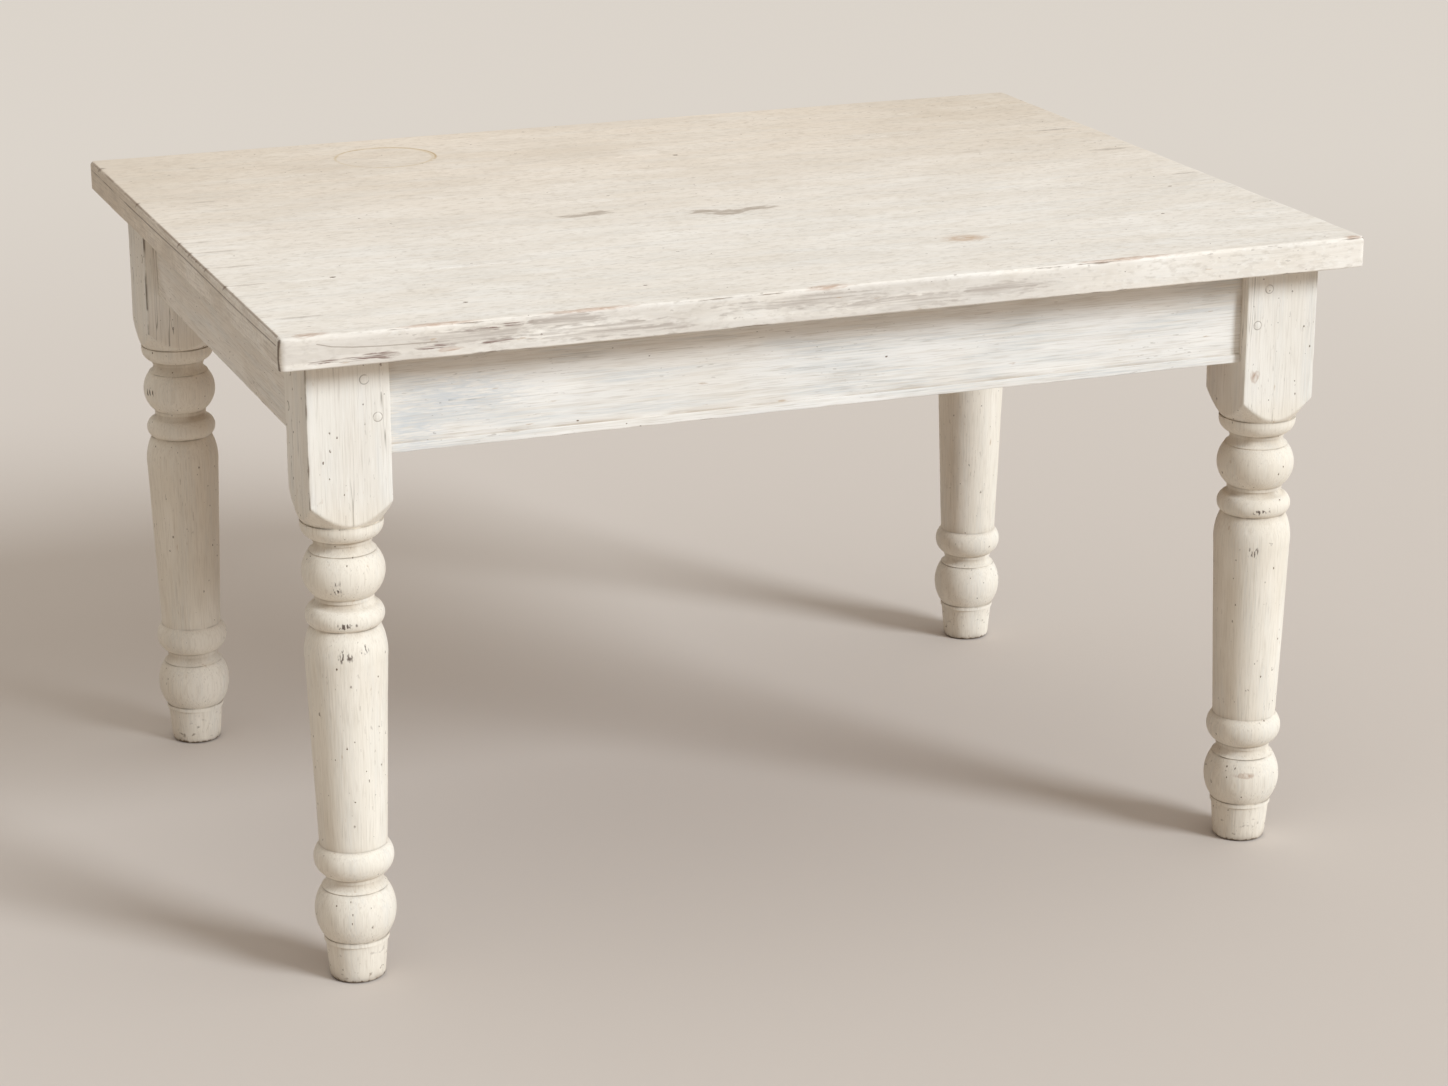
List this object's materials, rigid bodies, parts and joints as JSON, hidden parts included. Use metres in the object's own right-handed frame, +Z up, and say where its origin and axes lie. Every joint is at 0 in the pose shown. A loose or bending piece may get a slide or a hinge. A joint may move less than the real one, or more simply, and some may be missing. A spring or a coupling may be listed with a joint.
{
  "type": "kitchen table with drawers",
  "caption": "Rectangular cream-painted wooden kitchen table on turned baluster legs, with plain aprons, a worn board top and shallow knobbed drawers in one long side.",
  "frame": {"origin": "on the floor, under the middle of the table top", "axes": "+X along the table's length, +Y across it towards the drawer side, +Z up"},
  "size_m": [1.28, 0.97, 0.76],
  "materials": {
    "painted_pine": "worn matt cream paint over pine",
    "bare_pine": "planed and aged, unpainted",
    "steel": "dull"
  },
  "bodies": {
    "frame": {"leg_front_left": "painted_pine", "leg_front_right": "painted_pine", "leg_back_left": "painted_pine", "leg_back_right": "painted_pine", "front_apron": "painted_pine", "left_end_apron": "painted_pine", "right_end_apron": "painted_pine", "back_top_rail": "painted_pine", "back_drawer_rail": "painted_pine", "back_muntin": "painted_pine", "top_board_front": "painted_pine", "top_board_front_middle": "painted_pine", "top_board_back_middle": "painted_pine", "top_board_back": "painted_pine", "joint_pegs": "painted_pine", "left_runner": "bare_pine", "centre_runner": "bare_pine", "right_runner": "bare_pine", "left_guide": "bare_pine", "centre_guide": "bare_pine", "right_guide": "bare_pine", "left_kicker": "bare_pine", "centre_kicker": "bare_pine", "right_kicker": "bare_pine", "drawer_stops": "bare_pine", "table_buttons": "bare_pine", "top_tongues": "bare_pine", "top_screws": "steel"},
    "left_drawer": {"left_drawer_front": "painted_pine", "left_drawer_knob": "painted_pine", "left_drawer_left_side": "bare_pine", "left_drawer_right_side": "bare_pine", "left_drawer_back": "bare_pine", "left_drawer_bottom": "bare_pine", "left_drawer_nails": "steel"},
    "right_drawer": {"right_drawer_front": "painted_pine", "right_drawer_knob": "painted_pine", "right_drawer_left_side": "bare_pine", "right_drawer_right_side": "bare_pine", "right_drawer_back": "bare_pine", "right_drawer_bottom": "bare_pine", "right_drawer_nails": "steel"}
  },
  "joints": [
    {"name": "left_drawer_slide", "type": "slide", "parent": "frame", "child": "left_drawer", "axis": [0, 1, 0], "range_m": [0, 0.38]},
    {"name": "right_drawer_slide", "type": "slide", "parent": "frame", "child": "right_drawer", "axis": [0, 1, 0], "range_m": [0, 0.38]}
  ]
}
